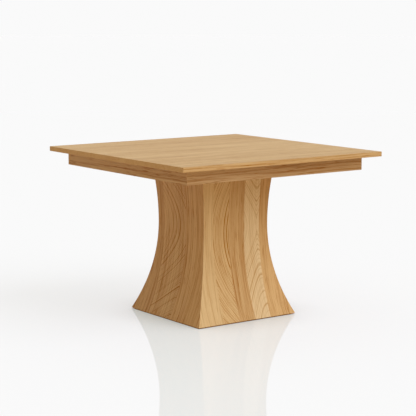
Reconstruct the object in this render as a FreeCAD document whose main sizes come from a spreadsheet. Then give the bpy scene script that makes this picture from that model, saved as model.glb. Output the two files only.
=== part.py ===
import FreeCAD, Part
import math
import os
import Sketcher

# A square pedestal dining table in solid oak, in millimetres, +Z up.
# The origin is on the floor under the middle of the top. The front faces -Y, and the boards of the
# top run along X. The pedestal's four curved faces are coopered from upright staves.

SIZES = {
    # The top
    "table_height": 765,
    "top_size": 1100,
    "top_thickness": 22,
    "top_edge_round": 1.5,
    # Splines in the joints between the boards
    "spline_width": 20,
    "spline_thickness": 4,
    "spline_stop": 60,
    # The apron under the top
    "top_overhang": 64,
    "apron_depth": 63,
    "apron_thickness": 22,
    "apron_edge_round": 1.5,
    "corner_block_leg": 60,
    "corner_block_flat": 8,
    "corner_block_depth": 45,
    # Bearers that cross under the boards
    "bearer_width": 60,
    "bearer_height": 32,
    "tenon_length": 10,
    "tenon_width": 36,
    "tenon_height": 18,
    # Screws that hold the top
    "top_screw_diameter": 4,
    "top_screw_head": 8.4,
    "top_screw_head_height": 2.6,
    "top_screw_bite": 13,
    "bearer_screw_seat": 15,
    "bearer_screw_offset": 12,
    "bearer_slot_play": 3,
    # Clips between the apron and the top
    "clip_groove_drop": 12,
    "clip_groove_depth": 8,
    "clip_thickness": 2,
    "clip_width": 20,
    "clip_tongue": 6,
    "clip_setback": 4,
    "clip_flat": 22,
    "clip_from_bearer": 20,
    # The plate on the pedestal and its bolts
    "plate_flange": 48,
    "plate_thickness": 28,
    "plate_corner_round": 24,
    "plate_edge_chamfer": 6,
    "bolt_spacing": 150,
    "bearer_bolt_offset": 10,
    "bolt_diameter": 8,
    "bolt_hole": 9,
    "bolt_head_across": 13,
    "bolt_head_height": 5.3,
    "washer_diameter": 18,
    "washer_thickness": 1.6,
    "insert_diameter": 12,
    "insert_length": 18,
    # The pedestal's outside
    "waist_width": 362,
    "waist_height": 425,
    "base_flare": 94,
    "neck_flare": 20.5,
    "floor_gap": 4,
    "stave_thickness": 24,
    "corner_stave_width": 49,
    # Inside the pedestal
    "post_leg": 50,
    "post_screw_setback": 17,
    "post_screw_diameter": 5,
    "post_screw_head": 10,
    "post_screw_length": 50,
    "base_plate_thickness": 22,
    "former_thickness": 18,
    "former_hole": 80,
    # The levelling feet
    "leveller_inset": 85,
    "stem_diameter": 8,
    "stem_length": 30,
    "stem_bevel": 1,
    "stem_hex_across": 14,
    "stem_hex_height": 5,
    "stem_neck_diameter": 9,
    "stem_button_diameter": 12,
    "stem_button_height": 3,
    "pad_diameter": 36,
    "pad_height": 9,
    "pad_floor": 4,
    "pad_edge_bevel": 1.5,
    "nut_flange_diameter": 22,
    "nut_flange_thickness": 1.6,
    "nut_barrel_diameter": 10.6,
    "nut_length": 15,
    # Clearances
    "glue_gap": 0.1,
    "screw_gap": 0.1,
    "running_gap": 0.05,
    "stop_gap": 0.3,
}

# Where each face of the pedestal and the apron lies, as a turn about Z from the rear one
FACES = {"rear": 0, "left": 90, "front": 180, "right": 270}
STAVES_PER_FACE = 5

TOP_BOARDS = 7

# Where the bolts stand along a bearer, in spacings from its middle
BOLT_STEPS = (-1, 0, 1)

# The four corners, with the signs of their X and Y
CORNERS = {"front_left": (-1, -1), "front_right": (1, -1), "rear_left": (-1, 1), "rear_right": (1, 1)}

# The corner posts, as turns about Z from the rear right one
POST_TURNS = {"rear_right": 0, "rear_left": 90, "front_left": 180, "front_right": 270}

doc = FreeCAD.newDocument("pedestal_table")
sheet = doc.addObject("Spreadsheet::Sheet", "size")
for row, (name, number) in enumerate(SIZES.items(), start=1):
    sheet.set(f"A{row}", name)
    sheet.set(f"B{row}", str(number))
    sheet.setAlias(f"B{row}", name)
doc.recompute()

subparts = []

# Two places this close are the same place, and a cut of less than this volume took nothing away
SAME_PLACE = 1e-6
NO_VOLUME = 1e-3

# Levels and places that several pieces share, as expressions of the sheet's cells

HALF_TOP = "(size.top_size / 2)"
BOARD_WIDTH = f"(size.top_size / {TOP_BOARDS})"
UNDERSIDE = "(size.table_height - size.top_thickness)"
SPLINE_LEVEL = "(size.table_height - size.top_thickness / 2)"

APRON_OUTSIDE = f"({HALF_TOP} - size.top_overhang)"
APRON_INSIDE = f"({APRON_OUTSIDE} - size.apron_thickness)"
APRON_LOW = f"({UNDERSIDE} - size.apron_depth)"

BEARER_LOW = f"({UNDERSIDE} - size.bearer_height)"
TENON_LOW = f"({BEARER_LOW} + (size.bearer_height - size.tenon_height) / 2)"
# A bearer has a screw at the middle of each board, apart from the two outer ones
BEARER_SCREWS = TOP_BOARDS - 2
BEARER_SCREW_ROW = f"({BEARER_SCREWS - 1} * {BOARD_WIDTH})"
SCREW_SHANK = "(size.top_screw_diameter / 2)"

CLIP_RISER = f"({APRON_INSIDE} - size.clip_setback)"
CLIP_SCREW_PLACE = f"({CLIP_RISER} - (size.clip_flat + size.clip_thickness) / 2)"
CLIP_TONGUE_TOP = f"({UNDERSIDE} - size.clip_groove_drop - size.glue_gap)"

NECK_LEVEL = f"({BEARER_LOW} - size.plate_thickness)"
HALF_WAIST = "(size.waist_width / 2)"
HALF_BASE = f"({HALF_WAIST} + size.base_flare)"
HALF_NECK = f"({HALF_WAIST} + size.neck_flare)"
STAVE_WIDTH = f"((size.waist_width - 2 * size.corner_stave_width) / {STAVES_PER_FACE - 2})"
LOWER_RISE = "(size.waist_height - size.floor_gap)"
LOWER_RADIUS = f"(({LOWER_RISE}^2 + size.base_flare^2) / (2 * size.base_flare))"
UPPER_RISE = f"({NECK_LEVEL} - size.waist_height)"
UPPER_RADIUS = f"(({UPPER_RISE}^2 + size.neck_flare^2) / (2 * size.neck_flare))"

# Across the table, the plate's bolts are in the middle of its flange, and the bearers follow them
HALF_PLATE = f"({HALF_NECK} + size.plate_flange)"
BOLT_PLACE = f"({HALF_NECK} + size.plate_flange / 2)"
BEARER_PLACE = f"({BOLT_PLACE} - size.bearer_bolt_offset)"
BEARER_SCREW_PLACE = f"({BEARER_PLACE} - size.bearer_screw_offset)"

# A side rail's clips are under the middle of the second boards, and the other clips beside the bearers
CLIP_SIDE_PLACE = f"({TOP_BOARDS / 2 - 1.5} * {BOARD_WIDTH})"
CLIP_FRONT_PLACE = f"({BEARER_PLACE} + size.bearer_width / 2 + size.clip_from_bearer + size.clip_width / 2)"

STEM_HEX_LOW = "(size.pad_height + size.stop_gap)"
BASE_PLATE_LOW = f"({STEM_HEX_LOW} + size.stem_hex_height + size.stop_gap)"
BASE_PLATE_HIGH = f"({BASE_PLATE_LOW} + size.base_plate_thickness)"
LEVELLER_PLACE = f"({HALF_BASE} - size.leveller_inset)"


def half_width(level, inset, radius):
    """Half the pedestal's width at a level, measured inset under its outer face."""
    rise = f"({level} - size.waist_height)"
    return f"({HALF_WAIST} + {radius} - sqrt(({radius} + {inset})^2 - {rise}^2))"


LINING = "(size.stave_thickness + size.glue_gap)"
POST_LOW_HALF = half_width(BASE_PLATE_HIGH, LINING, LOWER_RADIUS)
POST_WAIST_HALF = f"({HALF_WAIST} - {LINING})"
POST_HIGH_HALF = half_width(NECK_LEVEL, LINING, UPPER_RADIUS)


def value(expression):
    """What an expression of the sheet's cells comes to."""
    return float(sheet.evalExpression(expression))


# Sketches

def new_body(label):
    body = doc.addObject("PartDesign::Body", label)
    body.Label = label
    subparts.append(body)
    return body


def turned_body(label, turn):
    """A body that is turned about Z from where it is drawn."""
    body = new_body(label)
    body.Placement = FreeCAD.Placement(FreeCAD.Vector(), FreeCAD.Rotation(FreeCAD.Vector(0, 0, 1), turn))
    return body


def origin_feature(body, role):
    return next(feature for feature in body.Origin.OriginFeatures if feature.Role == role)


def new_sketch(body, plane, out="0", across="0", turn=0):
    """A sketch on one of the body's own planes.

    It is moved along the plane's normal by out and along its horizontal axis by across, and turned
    about its upright axis.
    """
    sketch = body.newObject("Sketcher::SketchObject", f"{body.Label}_sketch")
    sketch.AttachmentSupport = [(origin_feature(body, plane), "")]
    sketch.MapMode = "FlatFace"
    upright = FreeCAD.Rotation(FreeCAD.Vector(0, 1, 0), turn)
    sketch.AttachmentOffset = FreeCAD.Placement(FreeCAD.Vector(), upright)
    sketch.setExpression("AttachmentOffset.Base.x", across)
    sketch.setExpression("AttachmentOffset.Base.z", out)
    return sketch


def plan(body, level):
    """A level sketch, with X to the right and Y up."""
    return new_sketch(body, "XY_Plane", out=level)


def upright_at(body, x, y):
    """An upright sketch parallel to XZ, whose vertical axis stands at x, y."""
    return new_sketch(body, "XZ_Plane", out=f"-({y})", across=x)


def fix_point(sketch, edge, point, x, y):
    """Tie a sketch point to its distances from the sketch's origin."""
    for kind, distance in (("DistanceX", x), ("DistanceY", y)):
        if distance is not None:
            rule = Sketcher.Constraint(kind, -1, 1, edge, point, value(distance))
            sketch.setExpression(f"Constraints[{sketch.addConstraint(rule)}]", distance)


def arc_between(start, finish, level):
    """An arc through two points with its centre at a level, and its end numbers in that order."""
    squares = start.x ** 2 - finish.x ** 2 + (start.y - level) ** 2 - (finish.y - level) ** 2
    centre = FreeCAD.Vector(squares / (2 * (start.x - finish.x)), level, 0)
    circle = Part.Circle(centre, FreeCAD.Vector(0, 0, 1), (start - centre).Length)
    full_turn = 2 * math.pi
    first = math.atan2(start.y - level, start.x - centre.x) % full_turn
    last = math.atan2(finish.y - level, finish.x - centre.x) % full_turn
    if (last - first) % full_turn < math.pi:
        return Part.ArcOfCircle(circle, first, last), (1, 2)
    return Part.ArcOfCircle(circle, last, first), (2, 1)


def outline(sketch, corners, bows=(), bow_level=None):
    """Draw a closed loop through corners, each a pair of expressions.

    A side whose number is in bows is an arc centred at bow_level, and the other sides are straight.
    """
    points = [FreeCAD.Vector(value(x), value(y), 0) for x, y in corners]
    sides = []
    for side, start in enumerate(points):
        finish = points[(side + 1) % len(points)]
        if side in bows:
            edge, ends = arc_between(start, finish, value(bow_level))
        else:
            edge, ends = Part.LineSegment(start, finish), (1, 2)
        sides.append((sketch.addGeometry(edge, False), ends))
    for side, (edge, ends) in enumerate(sides):
        before, before_ends = sides[side - 1]
        sketch.addConstraint(Sketcher.Constraint("Coincident", before, before_ends[1], edge, ends[0]))
        fix_point(sketch, edge, ends[0], *corners[side])
        if side in bows:
            fix_point(sketch, edge, 3, None, bow_level)


def rectangle(sketch, left, right, front, rear):
    outline(sketch, [(left, front), (right, front), (right, rear), (left, rear)])


def circle(sketch, x, y, diameter):
    """Draw a circle about a point given by expressions."""
    ring = Part.Circle(FreeCAD.Vector(value(x), value(y), 0), FreeCAD.Vector(0, 0, 1), value(diameter) / 2)
    edge = sketch.addGeometry(ring, False)
    fix_point(sketch, edge, 3, x, y)
    rule = sketch.addConstraint(Sketcher.Constraint("Diameter", edge, value(diameter)))
    sketch.setExpression(f"Constraints[{rule}]", diameter)


def hexagon(sketch, x, y, across):
    """Draw a hexagon about a point, across its flats, with two flats facing X."""
    flat = f"({across} / 2)"
    point = f"({across} / sqrt(3))"
    turns = [(flat, -0.5), (flat, 0.5), ("0", 1), (f"-{flat}", 0.5), (f"-{flat}", -0.5), ("0", -1)]
    outline(sketch, [(f"({x}) + {dx}", f"({y}) + {share} * {point}") for dx, share in turns])


# Features

def add_feature(body, kind, sketch=None):
    feature = body.newObject(f"PartDesign::{kind}", f"{body.Label}_{kind}")
    if sketch is not None:
        feature.Profile = sketch
    body.Tip = feature
    return feature


def pad(body, sketch, length, both_ways=False):
    """Raise a sketch along its normal, or half of it each way."""
    feature = add_feature(body, "Pad", sketch)
    feature.setExpression("Length", length)
    feature.SideType = "Symmetric" if both_ways else "One side"
    return feature


def pocket(body, sketch, depth=None, up=False, both_ways=False):
    """Cut a sketch against its normal, or along it with up, to a depth or right through."""
    feature = add_feature(body, "Pocket", sketch)
    feature.SideType = "Symmetric" if both_ways else "One side"
    feature.Reversed = up
    if depth is None:
        feature.Type = "ThroughAll"
    else:
        feature.setExpression("Length", depth)
    return feature


def spin(body, sketch, kind="Revolution"):
    """Turn a sketch about its own vertical axis, to add or, as a Groove, to cut."""
    feature = add_feature(body, kind, sketch)
    feature.ReferenceAxis = (sketch, ["V_Axis"])
    feature.Angle = 360
    return feature


def add_pattern(body, kind, features):
    """A pattern of some of the body's features, or of the whole body so far."""
    pattern = add_feature(body, kind)
    if features:
        pattern.Originals = features
    else:
        pattern.TransformMode = "Whole shape"
    return pattern


def repeat_round(body, *features):
    """Repeat at the other three corners or sides."""
    pattern = add_pattern(body, "PolarPattern", features)
    pattern.Axis = (origin_feature(body, "Z_Axis"), [""])
    pattern.Angle = 360
    pattern.Occurrences = 4


def repeat_along_y(body, length, count):
    pattern = add_pattern(body, "LinearPattern", ())
    pattern.Direction = (origin_feature(body, "Y_Axis"), [""])
    pattern.setExpression("Length", length)
    pattern.Occurrences = count


def mirror(body, plane):
    pattern = add_pattern(body, "Mirrored", ())
    pattern.MirrorPlane = (origin_feature(body, plane), [""])


def soften(body, kind, measure, chosen):
    """Fillet or chamfer the edges of the body so far that chosen picks."""
    doc.recompute()
    base = body.Tip
    names = [f"Edge{number}" for number, edge in enumerate(base.Shape.Edges, start=1) if chosen(edge)]
    feature = add_feature(body, kind)
    feature.Base = (base, names)
    feature.setExpression("Radius" if kind == "Fillet" else "Size", measure)
    return feature


def all_at(edge, axis, place):
    """Whether both ends of an edge lie at a place along an axis."""
    return all(abs(getattr(end.Point, axis) - place) < SAME_PLACE for end in edge.Vertexes)


def level_edge(edge):
    return abs(edge.Vertexes[0].Z - edge.Vertexes[-1].Z) < SAME_PLACE


# The top: edge-glued boards with stopped splines

def board_front(number):
    """The front edge of a board, counted from 1 at the front of the table."""
    return f"({number - 1} * {BOARD_WIDTH} - {HALF_TOP})"


def bearer_screw_row():
    """Where the screws stand along a bearer."""
    return [f"({row} * {BOARD_WIDTH} - {BEARER_SCREW_ROW} / 2)" for row in range(BEARER_SCREWS)]


def top_screw_places():
    """Where screws come up into the top: a row on each bearer, and two at each side of the apron."""
    places = [(f"{side} * {BEARER_SCREW_PLACE}", y) for side in (-1, 1) for y in bearer_screw_row()]
    for x_sign, y_sign in CORNERS.values():
        places.append((f"{x_sign} * {CLIP_FRONT_PLACE}", f"{y_sign} * {CLIP_SCREW_PLACE}"))
        places.append((f"{x_sign} * {CLIP_SCREW_PLACE}", f"{y_sign} * {CLIP_SIDE_PLACE}"))
    return places


def make_top_board(number):
    body = new_body(f"top_board_{number}")
    front = board_front(number)
    rear = board_front(number + 1)
    slab = plan(body, UNDERSIDE)
    rectangle(slab, f"-{HALF_TOP}", HALF_TOP, front, rear)
    pad(body, slab, "size.top_thickness")

    reach = f"({HALF_TOP} - size.spline_stop + size.glue_gap)"
    depth = "(size.spline_width / 2 + size.glue_gap)"
    grooves = plan(body, SPLINE_LEVEL)
    if number > 1:
        rectangle(grooves, f"-{reach}", reach, front, f"({front} + {depth})")
    if number < TOP_BOARDS:
        rectangle(grooves, f"-{reach}", reach, f"({rear} - {depth})", rear)
    pocket(body, grooves, "(size.spline_thickness + 2 * size.glue_gap)", both_ways=True)

    reach_of_hole = value(SCREW_SHANK) + value("size.screw_gap")
    pilots = plan(body, UNDERSIDE)
    for x, y in top_screw_places():
        if value(front) - reach_of_hole < value(y) < value(rear) + reach_of_hole:
            circle(pilots, x, y, "(size.top_screw_diameter + 2 * size.screw_gap)")
    if pilots.GeometryCount:
        pocket(body, pilots, "(size.top_screw_bite + size.screw_gap)", up=True)

    half = value(HALF_TOP)

    def on_rim(edge):
        at_end = all_at(edge, "x", half) or all_at(edge, "x", -half)
        at_side = all_at(edge, "y", half) or all_at(edge, "y", -half)
        return (at_end and at_side) or (level_edge(edge) and (at_end or at_side))

    soften(body, "Fillet", "size.top_edge_round", on_rim)


def make_top_splines():
    body = new_body("top_splines")
    reach = f"({HALF_TOP} - size.spline_stop)"
    joint = board_front(2)
    sketch = plan(body, SPLINE_LEVEL)
    rectangle(sketch, f"-{reach}", reach,
              f"({joint} - size.spline_width / 2)", f"({joint} + size.spline_width / 2)")
    pad(body, sketch, "size.spline_thickness", both_ways=True)
    repeat_along_y(body, f"({TOP_BOARDS - 2} * {BOARD_WIDTH})", TOP_BOARDS - 1)


# The apron: four mitred rails, glue blocks in their corners, and the clips that hold the top

def make_apron(face, turn):
    body = turned_body(f"apron_{face}", turn)
    rail = plan(body, APRON_LOW)
    outline(rail, [(f"-{APRON_INSIDE}", APRON_INSIDE), (APRON_INSIDE, APRON_INSIDE),
                   (APRON_OUTSIDE, APRON_OUTSIDE), (f"-{APRON_OUTSIDE}", APRON_OUTSIDE)])
    pad(body, rail, "size.apron_depth")

    groove = plan(body, f"({UNDERSIDE} - size.clip_groove_drop)")
    rectangle(groove, f"-{APRON_OUTSIDE}", APRON_OUTSIDE,
              APRON_INSIDE, f"({APRON_INSIDE} + size.clip_groove_depth)")
    pocket(body, groove, "(size.clip_thickness + 2 * size.glue_gap)")

    if face in ("front", "rear"):
        mortises = plan(body, f"({TENON_LOW} - size.glue_gap)")
        half = "(size.tenon_width / 2 + size.glue_gap)"
        for side in (-1, 1):
            rectangle(mortises, f"({side} * {BEARER_PLACE} - {half})", f"({side} * {BEARER_PLACE} + {half})",
                      APRON_INSIDE, f"({APRON_INSIDE} + size.tenon_length + size.glue_gap)")
        pocket(body, mortises, "(size.tenon_height + 2 * size.glue_gap)", up=True)

    outside = value(APRON_OUTSIDE)
    low = value(APRON_LOW)
    soften(body, "Fillet", "size.apron_edge_round",
           lambda edge: all_at(edge, "y", outside) and all_at(edge, "z", low))


def make_corner_blocks():
    body = new_body("apron_corner_blocks")
    leg = f"({APRON_INSIDE} - size.corner_block_leg)"
    flat = f"({APRON_INSIDE} - size.corner_block_flat)"
    sketch = plan(body, f"({UNDERSIDE} - size.corner_block_depth)")
    outline(sketch, [(leg, APRON_INSIDE), (APRON_INSIDE, leg), (APRON_INSIDE, flat), (flat, APRON_INSIDE)])
    pad(body, sketch, "size.corner_block_depth")
    repeat_round(body)


def bend_clip(body, sketch, hole_place):
    """A strip bent down from the top into the groove of a rail, with a hole for its screw.

    The sketch is square to the rail, with its horizontal axis pointing out of the table.
    """
    tongue_low = f"({CLIP_TONGUE_TOP} - size.clip_thickness)"
    flat_low = f"({UNDERSIDE} - size.clip_thickness)"
    flat_end = f"({CLIP_RISER} - size.clip_flat)"
    inner_riser = f"({CLIP_RISER} - size.clip_thickness)"
    tip = f"({APRON_INSIDE} + size.clip_tongue)"
    outline(sketch, [(tip, tongue_low), (tip, CLIP_TONGUE_TOP), (CLIP_RISER, CLIP_TONGUE_TOP),
                     (CLIP_RISER, UNDERSIDE), (flat_end, UNDERSIDE), (flat_end, flat_low),
                     (inner_riser, flat_low), (inner_riser, tongue_low)])
    pad(body, sketch, "size.clip_width", both_ways=True)
    hole = plan(body, UNDERSIDE)
    circle(hole, *hole_place, "(size.top_screw_diameter + 2 * size.screw_gap)")
    pocket(body, hole, "(size.clip_thickness + size.screw_gap)")


def repeat_at_corners(body):
    """Repeat at the other three corners, by mirroring both ways."""
    mirror(body, "XZ_Plane")
    mirror(body, "YZ_Plane")


def make_clips():
    body = new_body("top_clips")
    bend_clip(body, upright_at(body, "0", CLIP_SIDE_PLACE), (CLIP_SCREW_PLACE, CLIP_SIDE_PLACE))
    front = new_sketch(body, "YZ_Plane", out=CLIP_FRONT_PLACE)
    bend_clip(body, front, (CLIP_FRONT_PLACE, CLIP_SCREW_PLACE))
    repeat_at_corners(body)


def top_screw(body, x, y, seat):
    """A pan-head screw whose head bears upwards on a seat, with its point in the top."""
    sketch = upright_at(body, x, y)
    head = "(size.top_screw_head / 2)"
    bottom = f"({seat} - size.top_screw_head_height)"
    point = f"({UNDERSIDE} + size.top_screw_bite)"
    shoulder = f"({point} - size.top_screw_diameter)"
    outline(sketch, [("0", bottom), (head, bottom), (head, seat), (SCREW_SHANK, seat),
                     (SCREW_SHANK, shoulder), ("0", point)])
    spin(body, sketch)


def make_clip_screws():
    body = new_body("clip_screws")
    for x, y in ((CLIP_SCREW_PLACE, CLIP_SIDE_PLACE), (CLIP_FRONT_PLACE, CLIP_SCREW_PLACE)):
        top_screw(body, x, y, f"({UNDERSIDE} - size.clip_thickness)")
    repeat_at_corners(body)


# Bearers: they cross under the boards, tenoned into the apron, with slots for the screws

def make_bearer(name, turn):
    body = turned_body(f"bearer_{name}", turn)
    half = "(size.bearer_width / 2)"
    bar = plan(body, BEARER_LOW)
    rectangle(bar, f"({BEARER_PLACE} - {half})", f"({BEARER_PLACE} + {half})",
              f"-{APRON_INSIDE}", APRON_INSIDE)
    pad(body, bar, "size.bearer_height")

    reach = f"({APRON_INSIDE} + size.tenon_length)"
    tenon_half = "(size.tenon_width / 2)"
    tenon = plan(body, TENON_LOW)
    rectangle(tenon, f"({BEARER_PLACE} - {tenon_half})", f"({BEARER_PLACE} + {tenon_half})",
              f"-{reach}", reach)
    pad(body, tenon, "size.tenon_height")

    seats = plan(body, BEARER_LOW)
    slots = plan(body, BEARER_LOW)
    slot_half = f"({SCREW_SHANK} + size.screw_gap)"
    for middle in bearer_screw_row():
        circle(seats, BEARER_SCREW_PLACE, middle, "(size.top_screw_head + 2 * size.bearer_slot_play)")
        rectangle(slots, f"({BEARER_SCREW_PLACE} - {slot_half})", f"({BEARER_SCREW_PLACE} + {slot_half})",
                  f"({middle} - {slot_half} - size.bearer_slot_play)",
                  f"({middle} + {slot_half} + size.bearer_slot_play)")
    pocket(body, seats, "(size.bearer_height - size.bearer_screw_seat)", up=True)
    pocket(body, slots, up=True)

    bores = plan(body, BEARER_LOW)
    for place in bolt_row():
        circle(bores, BOLT_PLACE, place, "(size.insert_diameter + 2 * size.glue_gap)")
    pocket(body, bores, "(size.insert_length + size.glue_gap)", up=True)


def make_bearer_screws():
    body = new_body("bearer_screws")
    seat = f"({UNDERSIDE} - size.bearer_screw_seat)"
    top_screw(body, BEARER_SCREW_PLACE, bearer_screw_row()[0], seat)
    repeat_along_y(body, BEARER_SCREW_ROW, BEARER_SCREWS)
    mirror(body, "YZ_Plane")


# The plate on the pedestal, bolted up into threaded inserts in the bearers

def bolt_row():
    """Where the bolts stand along a bearer."""
    return [f"({step} * size.bolt_spacing)" for step in BOLT_STEPS]


def make_mount_plate():
    body = new_body("mount_plate")
    square = plan(body, NECK_LEVEL)
    rectangle(square, f"-{HALF_PLATE}", HALF_PLATE, f"-{HALF_PLATE}", HALF_PLATE)
    pad(body, square, "size.plate_thickness")
    soften(body, "Fillet", "size.plate_corner_round", lambda edge: not level_edge(edge))
    low = value(NECK_LEVEL)
    soften(body, "Chamfer", "size.plate_edge_chamfer", lambda edge: all_at(edge, "z", low))

    holes = plan(body, NECK_LEVEL)
    for place in bolt_row():
        for side in (-1, 1):
            circle(holes, f"{side} * {BOLT_PLACE}", place, "size.bolt_hole")
    pocket(body, holes, up=True)
    sink_post_screw(body, POST_HIGH_HALF, BEARER_LOW, down=True)


def repeat_bolts(body):
    """Repeat the first bolt, or a piece on it, along its bearer and across to the other."""
    repeat_along_y(body, f"({bolt_row()[-1]} - {bolt_row()[0]})", len(BOLT_STEPS))
    mirror(body, "YZ_Plane")


def make_bolts():
    body = new_body("mount_bolts")
    head_top = f"({NECK_LEVEL} - size.washer_thickness)"
    head = plan(body, f"({head_top} - size.bolt_head_height)")
    hexagon(head, BOLT_PLACE, bolt_row()[0], "size.bolt_head_across")
    pad(body, head, "size.bolt_head_height")
    shank = plan(body, head_top)
    circle(shank, BOLT_PLACE, bolt_row()[0], "size.bolt_diameter")
    pad(body, shank, f"({BEARER_LOW} + size.insert_length - {head_top})")
    repeat_bolts(body)


def make_bolt_rings(label, bore, outside, low, thickness):
    """A ring round each bolt."""
    body = new_body(label)
    sketch = plan(body, low)
    for diameter in (outside, bore):
        circle(sketch, BOLT_PLACE, bolt_row()[0], diameter)
    pad(body, sketch, thickness)
    repeat_bolts(body)


# The pedestal: staves cut to one curved profile, mitred where two faces meet

def make_stave(face, turn, number):
    body = turned_body(f"stave_{face}_{number}", turn)
    middle = (STAVES_PER_FACE + 1) / 2
    left = f"({middle - number + 0.5} * {STAVE_WIDTH})"
    right = f"({middle - number - 0.5} * {STAVE_WIDTH})"
    mitre_side = {1: 1, STAVES_PER_FACE: -1}.get(number, 0)
    if mitre_side > 0:
        left = HALF_BASE
    if mitre_side < 0:
        right = f"-{HALF_BASE}"

    profile = new_sketch(body, "YZ_Plane", out=right)
    low_inside = half_width("size.floor_gap", "size.stave_thickness", LOWER_RADIUS)
    high_inside = half_width(NECK_LEVEL, "size.stave_thickness", UPPER_RADIUS)
    outline(profile, [(HALF_BASE, "size.floor_gap"), (HALF_WAIST, "size.waist_height"),
                      (HALF_NECK, NECK_LEVEL), (high_inside, NECK_LEVEL),
                      (f"({HALF_WAIST} - size.stave_thickness)", "size.waist_height"),
                      (low_inside, "size.floor_gap")],
            bows=(0, 1, 3, 4), bow_level="size.waist_height")
    pad(body, profile, f"({left} - {right})")

    if mitre_side:
        waste = plan(body, "0")
        outline(waste, [("0", "0"), (f"{mitre_side} * {HALF_BASE}", "0"),
                        (f"{mitre_side} * {HALF_BASE}", HALF_BASE)])
        pocket(body, waste, up=True)


def flare_line(low, waist, high):
    """Three corners of a curved side between the base plate and the neck."""
    return [(low, BASE_PLATE_HIGH), (waist, "size.waist_height"), (high, NECK_LEVEL)]


def make_corner_post(name, turn):
    """A post behind a mitre: a three-sided bar that follows both faces' insides."""
    body = turned_body(f"corner_post_{name}", turn)
    inner = f"({POST_WAIST_HALF} - 2 * size.post_leg)"
    outside = flare_line(POST_LOW_HALF, POST_WAIST_HALF, POST_HIGH_HALF)
    slab = new_sketch(body, "YZ_Plane", out=inner)
    outline(slab, outside + [(inner, NECK_LEVEL), (inner, BASE_PLATE_HIGH)],
            bows=(0, 1), bow_level="size.waist_height")
    pad(body, slab, f"({HALF_BASE} - {inner})")

    waste = new_sketch(body, "XZ_Plane")
    outline(waste, outside + [(HALF_BASE, NECK_LEVEL), (HALF_BASE, BASE_PLATE_HIGH)],
            bows=(0, 1), bow_level="size.waist_height")
    pocket(body, waste, both_ways=True)

    halves = (POST_LOW_HALF, POST_WAIST_HALF, POST_HIGH_HALF)
    slant = [f"((2 * {half} - size.post_leg) / sqrt(2))" for half in halves]
    hollow = new_sketch(body, "XZ_Plane", turn=45)
    outline(hollow, flare_line(*slant) + [("0", NECK_LEVEL), ("0", BASE_PLATE_HIGH)],
            bows=(0, 1), bow_level="size.waist_height")
    pocket(body, hollow, both_ways=True)

    bore_post_screw(body, POST_LOW_HALF, BASE_PLATE_LOW, down=False)
    bore_post_screw(body, POST_HIGH_HALF, BEARER_LOW, down=True)


# Screws through the two plates into the ends of the posts

def post_screw_outline(sketch, face, down, gap):
    """Half of a countersunk screw from a face, grown by a gap all round."""
    sign = -1 if down else 1
    rim = f"(size.post_screw_head / 2 + 2 * {gap})"
    shank = f"(size.post_screw_diameter / 2 + {gap})"
    sink = "((size.post_screw_head - size.post_screw_diameter) / 2)"
    shoulder = "(size.post_screw_length - size.post_screw_diameter)"
    depths = [f"-{gap}", f"-{gap}", sink, shoulder, f"(size.post_screw_length + {gap})"]
    radii = ["0", rim, shank, shank, "0"]
    outline(sketch, [(radius, f"({face} + {sign} * {depth})") for radius, depth in zip(radii, depths)])


def bore_post_screw(body, half, face, down):
    place = f"({half} - size.post_screw_setback)"
    sketch = upright_at(body, place, place)
    post_screw_outline(sketch, face, down, "size.screw_gap")
    return spin(body, sketch, "Groove")


def sink_post_screw(body, half, face, down):
    """Cut the four screws' holes in a plate."""
    repeat_round(body, bore_post_screw(body, half, face, down))


def make_post_screws():
    body = new_body("post_screws")
    for half, face, down in ((POST_LOW_HALF, BASE_PLATE_LOW, False), (POST_HIGH_HALF, BEARER_LOW, True)):
        place = f"({half} - size.post_screw_setback)"
        sketch = upright_at(body, place, place)
        post_screw_outline(sketch, face, down, "0")
        spin(body, sketch)
    repeat_round(body)


# Inside the pedestal: the plate that carries the feet, and a former at the waist

def make_base_plate():
    body = new_body("base_plate")
    squares = []
    for level in (BASE_PLATE_LOW, BASE_PLATE_HIGH):
        half = half_width(level, LINING, LOWER_RADIUS)
        sketch = plan(body, level)
        rectangle(sketch, f"-{half}", half, f"-{half}", half)
        squares.append(sketch)
    bevelled = add_feature(body, "AdditiveLoft", squares[0])
    bevelled.Sections = [squares[1]]
    bevelled.Ruled = True

    barrels = plan(body, BASE_PLATE_LOW)
    flanges = plan(body, BASE_PLATE_LOW)
    for x_sign, y_sign in CORNERS.values():
        place = (f"{x_sign} * {LEVELLER_PLACE}", f"{y_sign} * {LEVELLER_PLACE}")
        circle(barrels, *place, "(size.nut_barrel_diameter + 2 * size.glue_gap)")
        circle(flanges, *place, "(size.nut_flange_diameter + 2 * size.glue_gap)")
    pocket(body, barrels, up=True)
    pocket(body, flanges, "size.nut_flange_thickness", up=True)
    sink_post_screw(body, POST_LOW_HALF, BASE_PLATE_LOW, down=False)


def make_waist_former():
    body = new_body("waist_former")
    half = POST_WAIST_HALF
    cut = f"({half} - size.post_leg - 2 * size.glue_gap)"
    sketch = plan(body, "size.waist_height")
    outline(sketch, [(f"-{cut}", f"-{half}"), (cut, f"-{half}"), (half, f"-{cut}"), (half, cut),
                     (cut, half), (f"-{cut}", half), (f"-{half}", cut), (f"-{half}", f"-{cut}")])
    circle(sketch, "0", "0", "size.former_hole")
    pad(body, sketch, "size.former_thickness", both_ways=True)


# The levelling feet: T-nuts in the base plate, threaded stems, and pads that swivel on them

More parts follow.
